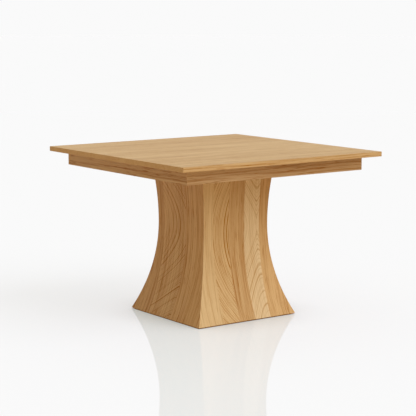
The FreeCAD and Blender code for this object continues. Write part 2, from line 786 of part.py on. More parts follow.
def make_leveller_nuts():
    body = new_body("leveller_nuts")
    sketch = upright_at(body, LEVELLER_PLACE, LEVELLER_PLACE)
    bore = "(size.stem_diameter / 2 + size.running_gap)"
    flange = "(size.nut_flange_diameter / 2)"
    barrel = "(size.nut_barrel_diameter / 2)"
    flange_top = f"({BASE_PLATE_LOW} + size.nut_flange_thickness)"
    top = f"({BASE_PLATE_LOW} + size.nut_length)"
    outline(sketch, [(bore, BASE_PLATE_LOW), (flange, BASE_PLATE_LOW), (flange, flange_top),
                     (barrel, flange_top), (barrel, top), (bore, top)])
    spin(body, sketch)
    repeat_round(body)


def foot_body(label, signs):
    """A body that is drawn on the Z axis and stands at one of the four feet."""
    body = new_body(label)
    for axis, sign in zip("xy", signs):
        body.setExpression(f"Placement.Base.{axis}", f"{sign} * {LEVELLER_PLACE}")
    return body


def make_leveller_stem(name, signs):
    body = foot_body(f"leveller_stem_{name}", signs)
    button = "(size.stem_button_diameter / 2)"
    neck = "(size.stem_neck_diameter / 2)"
    thread = "(size.stem_diameter / 2)"
    button_top = "(size.pad_floor + size.stem_button_height)"
    hex_top = f"({STEM_HEX_LOW} + size.stem_hex_height)"
    end = f"({hex_top} + size.stem_length)"
    sketch = upright_at(body, "0", "0")
    outline(sketch, [("0", "size.pad_floor"), (button, "size.pad_floor"), (button, button_top),
                     (neck, button_top), (neck, STEM_HEX_LOW), (thread, STEM_HEX_LOW),
                     (thread, f"({end} - size.stem_bevel)"), (f"({thread} - size.stem_bevel)", end),
                     ("0", end)])
    spin(body, sketch)
    collar = plan(body, STEM_HEX_LOW)
    hexagon(collar, "0", "0", "size.stem_hex_across")
    pad(body, collar, "size.stem_hex_height")


def make_leveller_pad(name, signs):
    body = foot_body(f"leveller_pad_{name}", signs)
    rim = "(size.pad_diameter / 2)"
    socket = "(size.stem_button_diameter / 2 + size.running_gap)"
    lip = "(size.stem_neck_diameter / 2 + size.running_gap)"
    lip_low = "(size.pad_floor + size.stem_button_height + size.running_gap)"
    sketch = upright_at(body, "0", "0")
    outline(sketch, [("0", "0"), (rim, "0"), (rim, "size.pad_height"), (lip, "size.pad_height"),
                     (lip, lip_low), (socket, lip_low), (socket, "size.pad_floor"),
                     ("0", "size.pad_floor")])
    spin(body, sketch)
    radius = value(rim)
    soften(body, "Chamfer", "size.pad_edge_bevel",
           lambda edge: abs(edge.BoundBox.XMax - radius) < SAME_PLACE and level_edge(edge))


def make_table():
    for number in range(1, TOP_BOARDS + 1):
        make_top_board(number)
    make_top_splines()
    for face, turn in FACES.items():
        make_apron(face, turn)
    make_corner_blocks()
    make_clips()
    make_clip_screws()
    for name, turn in (("right", 0), ("left", 180)):
        make_bearer(name, turn)
    make_bearer_screws()
    make_mount_plate()
    make_bolts()
    make_bolt_rings("mount_washers", "size.bolt_hole", "size.washer_diameter",
                    f"({NECK_LEVEL} - size.washer_thickness)", "size.washer_thickness")
    make_bolt_rings("bearer_inserts", "(size.bolt_diameter + 2 * size.screw_gap)", "size.insert_diameter",
                    BEARER_LOW, "size.insert_length")
    for face, turn in FACES.items():
        for number in range(1, STAVES_PER_FACE + 1):
            make_stave(face, turn, number)
    for name, turn in POST_TURNS.items():
        make_corner_post(name, turn)
    make_post_screws()
    make_base_plate()
    make_waist_former()
    make_leveller_nuts()
    for name, signs in CORNERS.items():
        make_leveller_stem(name, signs)
        make_leveller_pad(name, signs)


def check_table():
    """Stop if anything failed to build, or a cut took nothing away."""
    for thing in doc.Objects:
        if "Invalid" in thing.State or "Error" in thing.State:
            raise RuntimeError(f"{thing.Label} failed: {thing.State}")
        if thing.TypeId in ("PartDesign::Pocket", "PartDesign::Groove"):
            if thing.Shape.Volume > thing.BaseFeature.Shape.Volume - NO_VOLUME:
                raise RuntimeError(f"{thing.Label} cuts nothing")
    for body in subparts:
        if body.Shape.isNull() or not body.Shape.isValid():
            raise RuntimeError(f"{body.Label} has no valid shape")


def write_table():
    os.makedirs("parts", exist_ok=True)
    for body in subparts:
        body.Shape.exportStep(f"parts/{body.Label}.step")
        print(f"{body.Label}: {len(body.Shape.Solids)} solids, {body.Shape.Volume / 1000:.1f} cm3")


make_table()
doc.recompute()
check_table()
write_table()
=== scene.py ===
import bmesh
import bpy
import math
from collections import namedtuple
from mathutils import Matrix, Vector


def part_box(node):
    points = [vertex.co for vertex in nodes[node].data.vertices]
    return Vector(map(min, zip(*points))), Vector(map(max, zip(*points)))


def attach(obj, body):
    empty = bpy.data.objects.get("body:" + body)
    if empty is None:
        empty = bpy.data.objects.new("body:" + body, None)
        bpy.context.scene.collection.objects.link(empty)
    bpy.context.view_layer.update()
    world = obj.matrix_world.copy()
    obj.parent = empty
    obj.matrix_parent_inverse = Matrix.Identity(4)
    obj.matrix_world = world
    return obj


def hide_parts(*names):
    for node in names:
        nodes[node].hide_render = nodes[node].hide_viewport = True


# The looks of a square oak pedestal table. Lengths are in metres, +Z is up, and the front faces -Y.

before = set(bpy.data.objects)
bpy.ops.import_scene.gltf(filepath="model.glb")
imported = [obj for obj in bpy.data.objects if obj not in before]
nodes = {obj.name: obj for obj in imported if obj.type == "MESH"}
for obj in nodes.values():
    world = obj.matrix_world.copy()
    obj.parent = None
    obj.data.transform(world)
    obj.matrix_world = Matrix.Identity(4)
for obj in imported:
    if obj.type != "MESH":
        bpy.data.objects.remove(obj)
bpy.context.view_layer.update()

ALONG_X = Vector((1, 0, 0))
ALONG_Y = Vector((0, 1, 0))
UP = Vector((0, 0, 1))
OUTWARD = {"front": Vector((0, -1, 0)), "left": Vector((-1, 0, 0)),
           "rear": Vector((0, 1, 0)), "right": Vector((1, 0, 0))}
CORNERS = ("front_left", "front_right", "rear_left", "rear_right")
STAVES_PER_FACE = 5
TOP_BOARDS = 7
WHITE = (1.0, 1.0, 1.0, 1.0)


def node_box(node_name):
    low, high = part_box(node_name)
    return Vector(low), Vector(high)


def middle_of(node_name):
    low, high = node_box(node_name)
    return (low + high) / 2


# Node trees

def add_node(tree, kind, inputs=None, **settings):
    """Add a node, set its properties, and set or link its inputs."""
    made = tree.nodes.new(kind)
    for name, setting in settings.items():
        setattr(made, name, setting)
    for socket, source in (inputs or {}).items():
        if isinstance(source, bpy.types.NodeSocket):
            tree.links.new(source, made.inputs[socket])
        else:
            made.inputs[socket].default_value = source
    return made


def maths(tree, operation, *sources):
    made = add_node(tree, "ShaderNodeMath", dict(enumerate(sources)), operation=operation)
    return made.outputs[0]


def add_layers(tree, total, *layers):
    """Add layers to a total, each by its weight."""
    for layer, weight in layers:
        total = maths(tree, "MULTIPLY_ADD", layer, weight, total)
    return total


def vectors(tree, operation, *sources):
    made = add_node(tree, "ShaderNodeVectorMath", dict(enumerate(sources)), operation=operation)
    return made.outputs["Value" if operation in ("LENGTH", "DOT_PRODUCT") else "Vector"]


def part_of(tree, vector, axis):
    return add_node(tree, "ShaderNodeSeparateXYZ", {0: vector}).outputs[axis]


def only_along(tree, axis, length):
    return add_node(tree, "ShaderNodeCombineXYZ", {axis: length}).outputs["Vector"]


def ease(tree, source, start, finish, low=0.0, high=1.0):
    """Go smoothly from low to high as a value goes from start to finish."""
    inputs = {"Value": source, "From Min": start, "From Max": finish, "To Min": low, "To Max": high}
    made = add_node(tree, "ShaderNodeMapRange", inputs, interpolation_type="SMOOTHSTEP")
    return made.outputs["Result"]


def noise(tree, place, scale, detail=2.0, output="Fac"):
    made = add_node(tree, "ShaderNodeTexNoise", {"Vector": place, "Scale": scale, "Detail": detail})
    return made.outputs[output]


def stretched_noise(tree, place, stretch, scale, detail=2.0):
    """Noise drawn out along the axes whose stretch is small."""
    return noise(tree, vectors(tree, "MULTIPLY", place, stretch), scale, detail)


def mix(tree, factor, first, second):
    made = add_node(tree, "ShaderNodeMix", {0: factor, 6: first, 7: second}, data_type="RGBA")
    return made.outputs[2]


def mix_shaders(tree, factor, first, second):
    made = add_node(tree, "ShaderNodeMixShader", {0: factor, 1: first, 2: second})
    return made.outputs["Shader"]


def roughen(tree, shader, height, strength, depth):
    """Raise and sink the surface by a height from 0 to 1."""
    bump = add_node(tree, "ShaderNodeBump", {"Height": height, "Strength": strength, "Distance": depth})
    tree.links.new(bump.outputs["Normal"], shader.inputs["Normal"])


def empty_material(name):
    material = bpy.data.materials.new(name)
    material.use_nodes = True
    material.node_tree.nodes.clear()
    return material, material.node_tree


def new_material(name):
    """A material with its shader and the object's own coordinates."""
    material, tree = empty_material(name)
    shader = add_node(tree, "ShaderNodeBsdfPrincipled")
    add_node(tree, "ShaderNodeOutputMaterial", {"Surface": shader.outputs["BSDF"]})
    coordinates = add_node(tree, "ShaderNodeTexCoord").outputs
    return material, tree, shader, coordinates


def dress(node_name, material):
    """Give a CAD node a material."""
    nodes[node_name].data.materials.clear()
    nodes[node_name].data.materials.append(material)


def seen_colour(red, green, blue):
    """A colour as a screen shows it, from 0 to 255, in the linear light of a shader."""
    def linear(level):
        share = level / 255
        return share / 12.92 if share <= 0.04045 else ((share + 0.055) / 1.055) ** 2.4
    return (linear(red), linear(green), linear(blue), 1.0)


# Oak as solid wood: growth rings round a pith, and streaks, fibres and pores along it

# What is left of the pale wood's red, green and blue in the dark wood
DARK_WOOD = (0.52, 0.29, 0.02)
# How much all of the wood is lightened, because its fibres darken it everywhere
LIGHTENING = 0.07

# Growth rings: how the seasons space them unevenly, where in a ring a dark line starts and where in the next
# it has faded out, how strong the weakest line is, and what share of the pores is left between the lines
SEASON_SCALE = 70.0
SEASON_SHIFT = 1.6
LINE_START = 0.9
LINE_END = 0.38
WEAKEST_LINE = 0.25
PORES_BETWEEN = 0.25

# How far the pith wanders, how often and how finely, and how much slower along the log
DRIFT = 0.016
DRIFT_SCALE = 6.0
DRIFT_DETAIL = 1.5
DRIFT_SHRINK = 0.3

# The mean of the tones, streaks and bands, taken off so that they lighten as much as they darken, and how
# much weaker all that is uneven is in end grain
UNEVEN_MEAN = 1.3
END_GRAIN_EVENS = 0.7

OAK_INPUTS = {"Place": "Vector", "Log": "Vector", "Ring Width": "Float", "Figure": "Float",
              "Streak": "Float", "Colour": "Color", "Follow": "Float", "Bow": "Float", "Swell": "Float",
              "Swell Start": "Float", "Lower Curve": "Float", "Upper Curve": "Float",
              "End Grain": "Float", "Finish": "Float"}
OAK_OUTPUTS = {"Colour": "Color", "Roughness": "Float", "Height": "Float"}


def add_sockets(group, side, sockets):
    for name, kind in sockets.items():
        group.interface.new_socket(name=name, in_out=side, socket_type=f"NodeSocket{kind}")


def along_grain(tree, place, shrink, scale, detail=2.0):
    """Noise drawn out along the grain, the more the smaller the shrink is."""
    return stretched_noise(tree, place, (1.0, 1.0, shrink), scale, detail)


def grown_places(group, given, rise_squared):
    """Places in a log that bows to one side and wanders as it grows."""
    aside = maths(group, "MULTIPLY", rise_squared, given["Bow"])
    bowed = vectors(group, "SUBTRACT", given["Place"], only_along(group, "X", aside))
    own_place = vectors(group, "ADD", given["Place"], given["Log"])
    drift_place = vectors(group, "MULTIPLY", own_place, (1.0, 1.0, DRIFT_SHRINK))
    drift = noise(group, drift_place, DRIFT_SCALE, DRIFT_DETAIL, "Color")
    drift = vectors(group, "SUBTRACT", drift, (0.5, 0.5, 0.5))
    drift = vectors(group, "MULTIPLY", drift, (DRIFT, DRIFT, 0.0))
    return vectors(group, "ADD", bowed, drift)


def outward_curve(group, given, rise, rise_squared):
    """How far the face has curved outward, below or above its middle."""
    above = maths(group, "GREATER_THAN", rise, 0.0)
    curve = add_node(group, "ShaderNodeMix", {0: above, 2: given["Lower Curve"], 3: given["Upper Curve"]})
    return maths(group, "MULTIPLY", rise_squared, curve.outputs[0])


def set_back(group, place, distance):
    """Move places into the wood, away from the face."""
    return vectors(group, "ADD", place, only_along(group, "Y", distance))


def swelling(group, given, rise_squared):
    """How far the log swells, slowly near its middle and evenly farther off."""
    start = given["Swell Start"]
    length = maths(group, "SQRT", maths(group, "MULTIPLY_ADD", start, start, rise_squared))
    return maths(group, "MULTIPLY", length, given["Swell"])


def growth_rings(tree, place, swell, ring_width):
    """Lines round the pith, each with a sharp start and a slow fade, uneven in step and strength."""
    radius = vectors(tree, "LENGTH", vectors(tree, "MULTIPLY", place, (1.0, 1.0, 0.0)))
    radius = maths(tree, "SUBTRACT", radius, swell)
    seasons = add_node(tree, "ShaderNodeTexNoise", {"W": radius, "Scale": SEASON_SCALE},
                       noise_dimensions="1D")
    count = maths(tree, "DIVIDE", radius, ring_width)
    count = add_layers(tree, count, (seasons.outputs["Fac"], SEASON_SHIFT))
    share = maths(tree, "FRACT", count)
    fade = ease(tree, share, 0.0, LINE_END, 1.0, 0.0)
    line = maths(tree, "MAXIMUM", fade, ease(tree, share, LINE_START, 1.0))
    number = maths(tree, "FLOOR", maths(tree, "ADD", count, 1 - LINE_START))
    chance = add_node(tree, "ShaderNodeTexWhiteNoise", {"W": number}, noise_dimensions="1D")
    strength = maths(tree, "MULTIPLY_ADD", chance.outputs["Value"], 1 - WEAKEST_LINE, WEAKEST_LINE)
    return maths(tree, "MULTIPLY", line, strength)


def unevenness(group, grain, end_grain):
    """Darker and paler wood along the grain, from broad tones to small flecks."""
    tones = along_grain(group, grain, shrink=0.1, scale=8.0)
    streaks = along_grain(group, grain, shrink=0.045, scale=26.0)
    bands = along_grain(group, grain, shrink=0.02, scale=70.0)
    lines = ease(group, along_grain(group, grain, shrink=0.014, scale=140.0, detail=3.0), 0.48, 0.68)
    flecks = ease(group, along_grain(group, grain, shrink=0.06, scale=210.0), 0.56, 0.72)
    uneven = add_layers(group, -UNEVEN_MEAN, (tones, 0.9), (streaks, 0.8), (bands, 0.9), (lines, 0.6),
                        (flecks, 0.7))
    side_grain = maths(group, "MULTIPLY_ADD", end_grain, -END_GRAIN_EVENS, 1.0)
    return maths(group, "MULTIPLY", uneven, side_grain)


def make_oak_group():
    """Nodes for oak, whose pith runs along Z, and whose face looks along -Y."""
    group = bpy.data.node_groups.new("oak_figure", "ShaderNodeTree")
    add_sockets(group, "INPUT", OAK_INPUTS)
    add_sockets(group, "OUTPUT", OAK_OUTPUTS)
    given = add_node(group, "NodeGroupInput").outputs
    rise = part_of(group, given["Place"], "Z")
    rise_squared = maths(group, "MULTIPLY", rise, rise)
    wood = grown_places(group, given, rise_squared)

    # The fibres follow the curve of the face, and the rings a share of it
    curve = outward_curve(group, given, rise, rise_squared)
    grain = vectors(group, "ADD", set_back(group, wood, curve), given["Log"])
    ring_place = set_back(group, wood, maths(group, "MULTIPLY", curve, given["Follow"]))
    rings = growth_rings(group, ring_place, swelling(group, given, rise_squared), given["Ring Width"])
    fibres = along_grain(group, grain, shrink=0.02, scale=620.0, detail=3.0)
    pores = ease(group, along_grain(group, grain, shrink=0.05, scale=1500.0, detail=1.0), 0.58, 0.72)
    pores_here = maths(group, "MULTIPLY_ADD", rings, 1 - PORES_BETWEEN, PORES_BETWEEN)
    pores = maths(group, "MULTIPLY", pores, pores_here)

    darkness = maths(group, "MULTIPLY", rings, given["Figure"])
    darkness = add_layers(group, darkness, (unevenness(group, grain, given["End Grain"]), given["Streak"]))
    darkness = maths(group, "SUBTRACT", darkness, LIGHTENING)
    darkness = add_layers(group, darkness, (fibres, 0.32), (pores, 0.45), (given["End Grain"], 0.26))
    dark_colour = vectors(group, "MULTIPLY", given["Colour"], DARK_WOOD)
    colour = mix(group, darkness, given["Colour"], dark_colour)
    roughness = add_layers(group, given["Finish"], (pores, 0.15), (fibres, 0.12))
    height = add_layers(group, maths(group, "MULTIPLY", fibres, 0.5), (pores, -1.0), (rings, -0.3))
    add_node(group, "NodeGroupOutput", {"Colour": colour, "Roughness": roughness, "Height": height})
    return group


oak_group = make_oak_group()

# How wood is sawn and coloured: how wide its rings are, how strong its rings and its streaks show, its
# palest colour, how far the pith leans to the right as it goes up, what share of the face's curve the rings
# follow, how far the pith bows to the right, how much the log swells for each metre from its middle, and how
# near its middle it swells less
Cut = namedtuple("Cut", "ring_width figure streak colour lean follow bow swell start", defaults=(0.0,) * 5)

OILED = 0.46
BARE = 0.66
OAK_SHEEN = 0.15
# How squarely a face must cross the grain to start showing end grain, and to show nothing else
END_GRAIN_START = 0.75
END_GRAIN_FULL = 0.95
# How far the wood of one material lies from the next one's in the noise
LOG_STEP = (3.1, 1.7, 5.3)


def oak(name, grain, across, pith, cut, finish=OILED, curves=(0.0, 0.0)):
    """Oak whose grain runs along one direction, sawn from a log whose pith passes through a point.

    The directions and the point are in the object's frame, and across points to the right on the face.
    The curves tell how the fibres bend outward, below and above the height of that point.
    """
    material, tree, shader, coordinates = new_material(name)
    along = (Vector(grain) + Vector(across) * cut.lean).normalized()
    depth = along.cross(Vector(across)).normalized()
    side = depth.cross(along)
    turn = Matrix((side, depth, along))
    place = add_node(tree, "ShaderNodeMapping", {
        "Vector": coordinates["Object"], "Location": turn @ -Vector(pith), "Rotation": turn.to_euler()})
    facing = maths(tree, "ABSOLUTE", vectors(tree, "DOT_PRODUCT", coordinates["Normal"], along))
    number = len(bpy.data.materials)
    wood = add_node(tree, "ShaderNodeGroup", {
        "Place": place.outputs["Vector"], "Log": tuple(step * number for step in LOG_STEP),
        "Ring Width": cut.ring_width, "Figure": cut.figure, "Streak": cut.streak,
        "Colour": seen_colour(*cut.colour), "Follow": cut.follow, "Bow": cut.bow, "Swell": cut.swell,
        "Swell Start": cut.start, "Lower Curve": curves[0], "Upper Curve": curves[1],
        "End Grain": ease(tree, facing, END_GRAIN_START, END_GRAIN_FULL), "Finish": finish},
        node_tree=oak_group)
    shader.inputs["Specular IOR Level"].default_value = OAK_SHEEN
    tree.links.new(wood.outputs["Colour"], shader.inputs["Base Color"])
    tree.links.new(wood.outputs["Roughness"], shader.inputs["Roughness"])
    roughen(tree, shader, wood.outputs["Height"], strength=0.25, depth=0.0004)
    return material


# The staves of the pedestal

WAIST = middle_of("waist_former").z
STAVE_LOW, STAVE_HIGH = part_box("stave_front_3")
STAVE_WIDTH = STAVE_HIGH[0] - STAVE_LOW[0]
STAVE_THICKNESS = 0.024
HALF_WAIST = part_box("waist_former")[1][1] + STAVE_THICKNESS
NECK_FLARE = 0.0205
STAVE_CURVES = ((-STAVE_LOW[1] - HALF_WAIST) / (WAIST - STAVE_LOW[2]) ** 2,
                NECK_FLARE / (STAVE_HIGH[2] - WAIST) ** 2)

# For each stave of a face, from left to right: how far the pith lies to the right of the stave's middle
# and behind its face, both at the waist, and its cut. A swelling log gives nested arches.
FRONT_STAVES = (
    (-0.60, 0.10, Cut(0.006, 0.30, 0.38, (218, 186, 129))),
    (0.12, 0.05, Cut(0.007, 1.00, 0.42, (216, 182, 124), lean=0.08, bow=0.8)),
    (0.70, 0.10, Cut(0.008, 0.40, 0.60, (205, 167, 109))),
    (0.030, 0.003, Cut(0.011, 0.50, 0.25, (224, 196, 144), lean=-0.04, swell=0.75, start=0.08)),
    (0.80, 0.20, Cut(0.007, 0.40, 0.55, (210, 170, 110))),
)
LEFT_STAVES = (
    (-0.60, 0.10, Cut(0.007, 0.40, 0.80, (199, 158, 104))),
    (0.134, 0.004, Cut(0.0115, 0.80, 0.60, (207, 169, 115), follow=0.85, swell=2.0, start=0.3)),
    (0.046, 0.004, Cut(0.0115, 1.00, 0.45, (205, 168, 114), follow=0.85, swell=2.0, start=0.3)),
    (0.70, 0.10, Cut(0.007, 0.45, 0.90, (203, 163, 107))),
    (-0.80, 0.10, Cut(0.007, 0.40, 0.65, (200, 159, 101))),
)


def mirrored(staves):
    return tuple((-to_right, behind, cut._replace(lean=-cut.lean, bow=-cut.bow))
                 for to_right, behind, cut in reversed(staves))


STAVES = {"front": FRONT_STAVES, "left": LEFT_STAVES,
          "rear": mirrored(LEFT_STAVES), "right": mirrored(FRONT_STAVES)}


def dress_staves():
    for face, staves in STAVES.items():
        outward = OUTWARD[face]
        across = UP.cross(outward)
        for number, (to_right, behind, cut) in enumerate(staves, start=1):
            stave_middle = (number - (STAVES_PER_FACE + 1) / 2) * STAVE_WIDTH
            pith = across * (stave_middle + to_right) + outward * (HALF_WAIST - behind) + UP * WAIST
            name = f"stave_{face}_{number}"
            dress(name, oak(f"oak_{name}", UP, across, pith, cut, curves=STAVE_CURVES))


# The boards of the top and the rails of the apron

TOP_CUT = Cut(0.006, 0.25, 0.62, (208, 172, 115))
TOP_PITH_ASIDE = 0.16
TOP_PITH_STEP = 0.03
TOP_PITH_BELOW = 0.12
APRON_CUT = Cut(0.005, 0.25, 0.95, (193, 157, 107))
APRON_PITH_BEHIND = 0.07
APRON_PITH_BELOW = 0.09


def dress_top():
    """Give each board a log of its own, to the one side and the other in turn."""
    for number in range(1, TOP_BOARDS + 1):
        name = f"top_board_{number}"
        side = 1 if number % 2 else -1
        aside = side * (TOP_PITH_ASIDE + TOP_PITH_STEP * number)
        pith = middle_of(name) + Vector((0, aside, -TOP_PITH_BELOW))
        dress(name, oak(f"oak_{name}", ALONG_X, ALONG_Y, pith, TOP_CUT))


def dress_apron():
    for face, outward in OUTWARD.items():
        name = f"apron_{face}"
        pith = middle_of(name) - outward * APRON_PITH_BEHIND - UP * APRON_PITH_BELOW
        dress(name, oak(f"oak_{name}", UP.cross(outward), UP, pith, APRON_CUT))


# The timber and plywood inside

INNER_CUT = Cut(0.007, 0.35, 0.50, (212, 178, 128))
INNER_PITH = Vector((0.05, 0.06, -0.08))
PLY = 0.002
PLY_PALE = seen_colour(222, 192, 146)
PLY_DARK = seen_colour(186, 146, 98)
PLY_GLUE = seen_colour(120, 84, 52)
PLY_SHEEN = 0.2
PLY_ROUGHNESS = 0.55
# How far from a ply's middle its glue starts to show, and where it covers the wood, in shares of a ply
GLUE_START = 0.42
GLUE_FULL = 0.49


def dress_inner_timber():
    grains = {"bearer_left": ALONG_Y, "bearer_right": ALONG_Y, "mount_plate": ALONG_X,
              "apron_corner_blocks": ALONG_X}
    grains.update({f"corner_post_{corner}": UP for corner in CORNERS})
    for name, grain in grains.items():
        across = ALONG_X if grain == UP else UP.cross(grain)
        pith = middle_of(name) + INNER_PITH
        dress(name, oak(f"timber_{name}", grain, across, pith, INNER_CUT, BARE))


def ply_fibres(tree, place, crossed):
    """Fibres along X in one ply and along Y in the next."""
    along_x = stretched_noise(tree, place, (0.03, 1.0, 1.0), scale=260.0, detail=3.0)
    along_y = stretched_noise(tree, place, (1.0, 0.03, 1.0), scale=260.0, detail=3.0)
    straight = maths(tree, "SUBTRACT", 1.0, crossed)
    return maths(tree, "MULTIPLY_ADD", along_x, straight, maths(tree, "MULTIPLY", along_y, crossed))


def plywood(name, underside):
    """Plywood lying flat: thin plies that turn their grain from one to the next, with glue between them."""
    material, tree, shader, coordinates = new_material(name)
    place = coordinates["Object"]
    level = maths(tree, "SUBTRACT", part_of(tree, place, "Z"), underside - PLY / 2)
    count = maths(tree, "DIVIDE", level, PLY)
    crossed = maths(tree, "MODULO", maths(tree, "FLOOR", count), 2.0)
    fibres = ply_fibres(tree, place, crossed)
    clouds = stretched_noise(tree, place, (0.2, 1.0, 1.0), scale=14.0, detail=3.0)
    darkness = add_layers(tree, maths(tree, "MULTIPLY", fibres, 0.6), (clouds, 0.5))
    darkness = add_layers(tree, maths(tree, "SUBTRACT", darkness, 0.2), (crossed, 0.2))
    colour = mix(tree, darkness, PLY_PALE, PLY_DARK)
    from_middle = maths(tree, "ABSOLUTE", maths(tree, "SUBTRACT", maths(tree, "FRACT", count), 0.5))
    colour = mix(tree, ease(tree, from_middle, GLUE_START, GLUE_FULL), colour, PLY_GLUE)
    tree.links.new(colour, shader.inputs["Base Color"])
    tree.links.new(maths(tree, "MULTIPLY_ADD", fibres, 0.2, PLY_ROUGHNESS), shader.inputs["Roughness"])
    shader.inputs["Specular IOR Level"].default_value = PLY_SHEEN
    roughen(tree, shader, fibres, strength=0.3, depth=0.0003)
    return material


def dress_plywood():
    for name in ("base_plate", "waist_former", "top_splines"):
        dress(name, plywood(f"plywood_{name}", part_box(name)[0][2]))


# Zinc-plated steel, brass and nylon

STEEL_COOL = seen_colour(196, 201, 208)
STEEL_WARM = seen_colour(212, 209, 196)
BRASS_COOL = seen_colour(214, 182, 108)
BRASS_WARM = seen_colour(196, 152, 84)
NYLON_BLACK = seen_colour(34, 34, 36)
NYLON_DUSTY = seen_colour(62, 60, 57)
NYLON_ROUGHNESS = 0.38


def metal(name, cool, warm, roughness):
    """Plated or turned metal: a colour that drifts in clouds, with a fine uneven grain."""
    material, tree, shader, coordinates = new_material(name)
    clouds = noise(tree, coordinates["Object"], scale=120.0, detail=3.0)
    grain = noise(tree, coordinates["Object"], scale=1600.0)
    tree.links.new(mix(tree, ease(tree, clouds, 0.35, 0.65), cool, warm), shader.inputs["Base Color"])
    shader.inputs["Metallic"].default_value = 1.0
    tree.links.new(maths(tree, "MULTIPLY_ADD", grain, 0.22, roughness), shader.inputs["Roughness"])
    roughen(tree, shader, grain, strength=0.15, depth=0.0001)
    return material


def make_nylon():
    """Black nylon with the fine grain of its mould, greyed in patches by dust."""
    material, tree, shader, coordinates = new_material("foot_nylon")
    dust = ease(tree, noise(tree, coordinates["Object"], scale=160.0, detail=4.0), 0.45, 0.75)
    grain = noise(tree, coordinates["Object"], scale=2600.0)
    tree.links.new(mix(tree, dust, NYLON_BLACK, NYLON_DUSTY), shader.inputs["Base Color"])
    tree.links.new(maths(tree, "MULTIPLY_ADD", grain, 0.25, NYLON_ROUGHNESS), shader.inputs["Roughness"])
    roughen(tree, shader, grain, strength=0.3, depth=0.0001)
    return material


steel = metal("zinc_steel", STEEL_COOL, STEEL_WARM, roughness=0.2)
brass = metal("insert_brass", BRASS_COOL, BRASS_WARM, roughness=0.22)
nylon = make_nylon()

dress_staves()
dress_top()
dress_apron()
dress_inner_timber()
dress_plywood()
for node_name in ("mount_washers", "leveller_nuts"):
    dress(node_name, steel)
dress("bearer_inserts", brass)


# Modelling by hand, on the Z axis

SAME_POINT = 0.000001
BOX_DIGITS = 4
SMOOTH_BELOW = math.radians(35)
ROD_SIDES = 48
TURNED_SIDES = 64


def deselect():
    bpy.ops.object.select_all(action="DESELECT")


def take(piece):
    """Make a piece the only one selected, and the active one."""
    deselect()
    piece.select_set(True)
    bpy.context.view_layer.objects.active = piece


def settle(piece):
    """Put the object at the origin, unturned and unscaled, with its place in its mesh."""
    take(piece)
    bpy.ops.object.transform_apply(location=True, rotation=True, scale=True)


def new_rod(name, radius, low, high, sides=ROD_SIDES, high_radius=None):
    """A closed rod, prism or cone that stands on the Z axis between two levels."""
    deselect()
    top_radius = radius if high_radius is None else high_radius
    bpy.ops.mesh.primitive_cone_add(vertices=sides, radius1=radius, radius2=top_radius, depth=high - low,
                                    location=(0, 0, (low + high) / 2))
    rod = bpy.context.object
    rod.name = name
    settle(rod)
    return rod


def start_editing(piece):
    take(piece)
    bpy.ops.object.mode_set(mode="EDIT")


def stop_editing():
    bpy.ops.object.mode_set(mode="OBJECT")


def choose(piece, kind, test):
    """While editing, select only the faces or edges of which every corner passes a test."""
    bpy.ops.mesh.select_mode(type="FACE" if kind == "faces" else "EDGE")
    bpy.ops.mesh.select_all(action="DESELECT")
    mesh = bmesh.from_edit_mesh(piece.data)
    for part in getattr(mesh, kind):
        part.select_set(all(test(corner.co) for corner in part.verts))
    mesh.select_flush_mode()
    bmesh.update_edit_mesh(piece.data)


def choose_all():
    bpy.ops.mesh.select_all(action="SELECT")


def at_level(level):
    return lambda point: abs(point.z - level) < SAME_POINT


def raise_face(rise, widen=1.0):
    """Extrude the chosen face along Z and widen what was extruded about the Z axis."""
    bpy.ops.mesh.extrude_region_move(TRANSFORM_OT_translate={"value": (0, 0, rise)})
    bpy.ops.transform.resize(value=(widen, widen, 1.0), center_override=(0, 0, 0))


def turn_faces_out():
    choose_all()
    bpy.ops.mesh.normals_make_consistent(inside=False)


def apply_modifier(piece, modifier):
    take(piece)
    bpy.ops.object.modifier_apply(modifier=modifier.name)


def combine(piece, tool, operation):
    """Unite a piece with a tool, or cut it by one, and use the tool up."""
    modifier = piece.modifiers.new("combine", "BOOLEAN")
    modifier.operation = operation
    modifier.solver = "EXACT"
    modifier.object = tool
    apply_modifier(piece, modifier)
    bpy.data.objects.remove(tool)


def round_edges(piece, width, segments, sharper_than):
    modifier = piece.modifiers.new("round", "BEVEL")
    modifier.width = width
    modifier.segments = segments
    modifier.limit_method = "ANGLE"
    modifier.angle_limit = math.radians(sharper_than)
    apply_modifier(piece, modifier)


def copy_to(piece, places, name):
    """Copy a piece to places, each a point and a turn about X and Z, and join the copies into one."""
    copies = []
    for point, flip, turn in places:
        copy = piece.copy()
        copy.data = piece.data.copy()
        bpy.context.scene.collection.objects.link(copy)
        copy.location = point
        copy.rotation_euler = (flip, 0, turn)
        copies.append(copy)
    take(copies[0])
    for copy in copies:
        copy.select_set(True)
    if len(copies) > 1:
        bpy.ops.object.join()
    copies[0].name = name
    settle(copies[0])
    return copies[0]


def clean(piece):
    """Take away the faces without area that a cut or a rounding left."""
    start_editing(piece)
    choose_all()
    bpy.ops.mesh.dissolve_degenerate(threshold=SAME_POINT)
    stop_editing()


def finish_piece(piece, material, body, node_name):
    """Clean and smooth a piece, give it its material and let it stand for a node on a body."""
    clean(piece)
    take(piece)
    bpy.ops.object.shade_smooth_by_angle(angle=SMOOTH_BELOW)
    piece.data.materials.clear()
    piece.data.materials.append(material)
    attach(piece, body)
    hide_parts(node_name)


